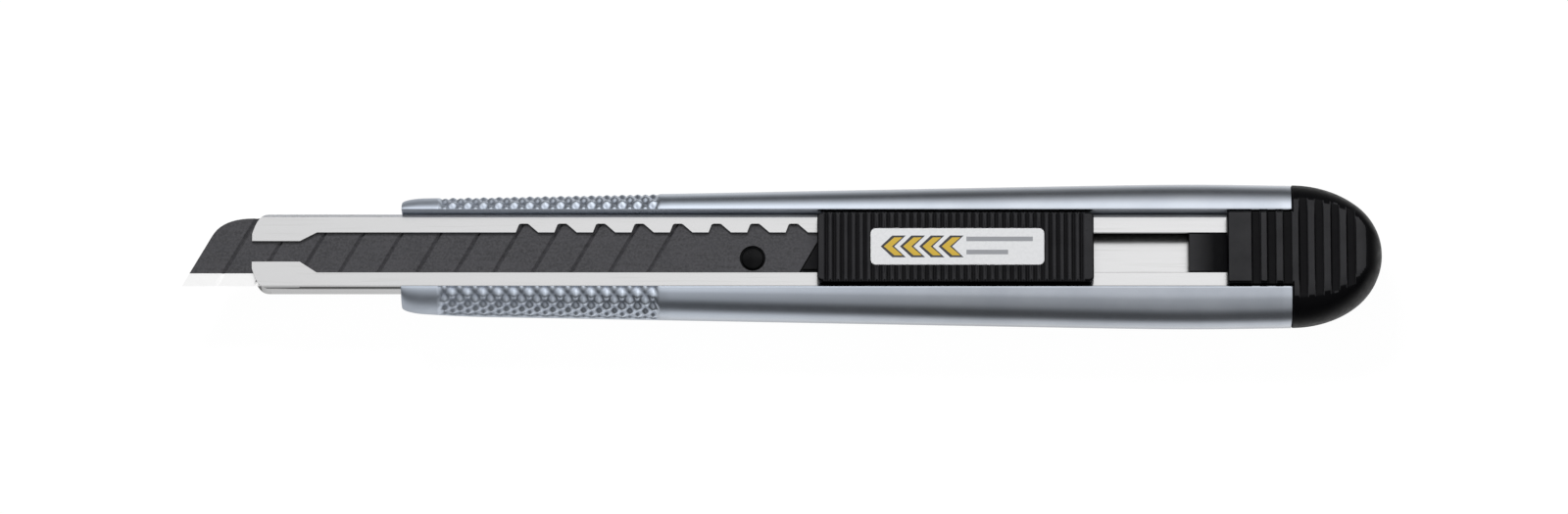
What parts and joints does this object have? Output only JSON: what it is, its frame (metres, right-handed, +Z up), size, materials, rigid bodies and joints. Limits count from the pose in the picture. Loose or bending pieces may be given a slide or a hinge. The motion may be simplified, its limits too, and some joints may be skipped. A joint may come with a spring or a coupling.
{
  "type": "utility knife",
  "caption": "Slim snap-off utility knife: cast metal handle with knurled rails, notched steel blade channel, sliding blade with ribbed thumb grip, and a ribbed plastic end cap",
  "frame": {"origin": "on the flat back the knife lies on, halfway between the blade's tip and the end cap's end", "axes": "+Z up out of the thumb grip, -X towards the blade's tip, +X towards the end cap, cutting edge at -Y"},
  "size_m": [0.1556, 0.019, 0.0121],
  "materials": {
    "cast_aluminium": "satin",
    "stainless_sheet": "polished",
    "rivet_steel": "satin",
    "black_blade_steel": "black coated, edge ground bright",
    "black_plastic": "satin",
    "carriage_plastic": "satin",
    "spring_steel": "bright",
    "label_white": "glossy"
  },
  "bodies": {
    "handle": {"handle_shell": "cast_aluminium", "blade_channel": "stainless_sheet", "channel_rivet_front": "rivet_steel", "channel_rivet_middle": "rivet_steel", "channel_rivet_rear": "rivet_steel"},
    "slider": {"blade": "black_blade_steel", "blade_carrier": "carriage_plastic", "blade_stud": "black_blade_steel", "grip_pin_front": "rivet_steel", "grip_pin_rear": "rivet_steel", "slider_grip": "black_plastic", "slider_label": "label_white"},
    "lock_spring": {"lock_spring": "spring_steel"},
    "end_cap": {"end_cap": "black_plastic"}
  },
  "joints": [
    {"name": "blade_slide", "type": "slide", "parent": "handle", "child": "slider", "axis": [-1, 0, 0], "range_m": [-0.01, 0.05]},
    {"name": "lock_spring_flex", "type": "hinge", "parent": "slider", "child": "lock_spring", "pos_m": [0.0302, 0.0012, 0.0094], "axis": [0, 0, 1], "range_deg": [0, 5.3], "stiffness_Nm_per_rad": 0.1},
    {"name": "cap_pull", "type": "slide", "parent": "handle", "child": "end_cap", "axis": [1, 0, 0], "range_m": [0, 0.025]}
  ]
}
